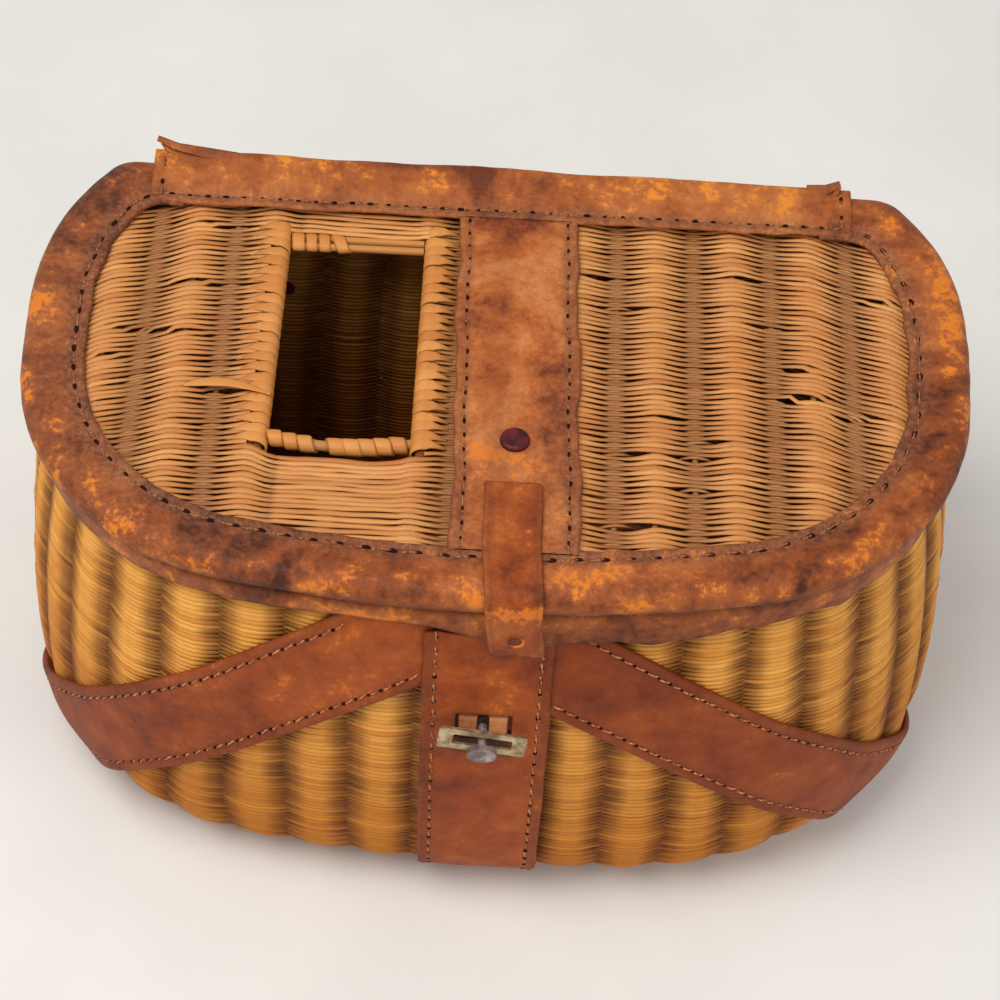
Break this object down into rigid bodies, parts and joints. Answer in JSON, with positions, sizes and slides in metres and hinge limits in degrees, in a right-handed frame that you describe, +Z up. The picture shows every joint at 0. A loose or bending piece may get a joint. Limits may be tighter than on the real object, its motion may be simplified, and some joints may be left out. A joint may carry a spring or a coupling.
{
  "type": "fishing creel",
  "caption": "Woven willow fishing creel with a D-shaped plan, a leather-bound hinged lid with a fish hole, and a hanging latch strap above a turning stud.",
  "frame": {"origin": "on the surface that the creel stands on, under the middle of the whole creel's width and depth", "axes": "+X to the wearer's right as the front is seen, +Y towards the straight back that lies against the body, +Z up"},
  "size_m": [0.3882, 0.2438, 0.2055],
  "materials": {
    "body_willow": "weathered golden brown woven willow",
    "lid_willow": "paler, pinkish tan split willow",
    "hoop_wood": "bare willow rod",
    "cane": "glossy split cane wrapping",
    "edge_leather": "worn brown leather, scuffed at the folds",
    "panel_leather": "red-brown leather, dusty at the stitching",
    "lining_leather": "bare tan leather",
    "strap_leather": "dark worn leather",
    "copper": "dark, oxidised copper",
    "aged_brass": "dull, greenish brass",
    "stud_brass": "dull grey-brown metal"
  },
  "bodies": {
    "basket": {"basket_weave": "body_willow", "mouth_hoop": "hoop_wood", "rim_band": "edge_leather", "front_panel": "panel_leather", "panel_lining": "lining_leather", "left_band": "panel_leather", "right_band": "panel_leather", "stud_washer": "aged_brass", "stud_plate": "aged_brass", "harness_loop_left": "strap_leather", "harness_loop_right": "strap_leather", "loop_rivets": "copper", "hinge_strip_back": "edge_leather"},
    "lid": {"lid_hoop": "hoop_wood", "lid_weave": "lid_willow", "lid_binding": "edge_leather", "hinge_strip_lid": "edge_leather", "centre_strap": "strap_leather", "latch_strap_root": "strap_leather", "strap_rivet": "copper", "rivet_burr": "copper", "hole_stake_left": "hoop_wood", "hole_stake_right": "hoop_wood", "hole_wrap_left": "cane", "hole_wrap_right": "cane", "hole_bar_front": "hoop_wood", "hole_wrap_front": "cane", "hole_sticks_back": "hoop_wood"},
    "latch_tongue": {"latch_tongue": "strap_leather"},
    "turn_stud": {"turn_stud": "stud_brass"},
    "hasp_plate": {"hasp_plate": "aged_brass"}
  },
  "joints": [
    {"name": "lid_hinge", "type": "hinge", "parent": "basket", "child": "lid", "pos_m": [0, 0.11686, 0.18915], "axis": [-1, 0, 0], "range_deg": [0, 150]},
    {"name": "tongue_hinge", "type": "hinge", "parent": "lid", "child": "latch_tongue", "pos_m": [0.008, -0.08739, 0.2055], "axis": [-1, 0, 0], "range_deg": [0, 120]},
    {"name": "stud_turn", "type": "hinge", "parent": "basket", "child": "turn_stud", "pos_m": [0.0015, -0.10351, 0.128], "axis": [0, -0.9907, 0.1359], "range_deg": [-90, 90]},
    {"name": "hasp_slide", "type": "slide", "parent": "basket", "child": "hasp_plate", "axis": [0, -0.9907, 0.1359], "range_m": [-0.0066, 0.004]}
  ]
}
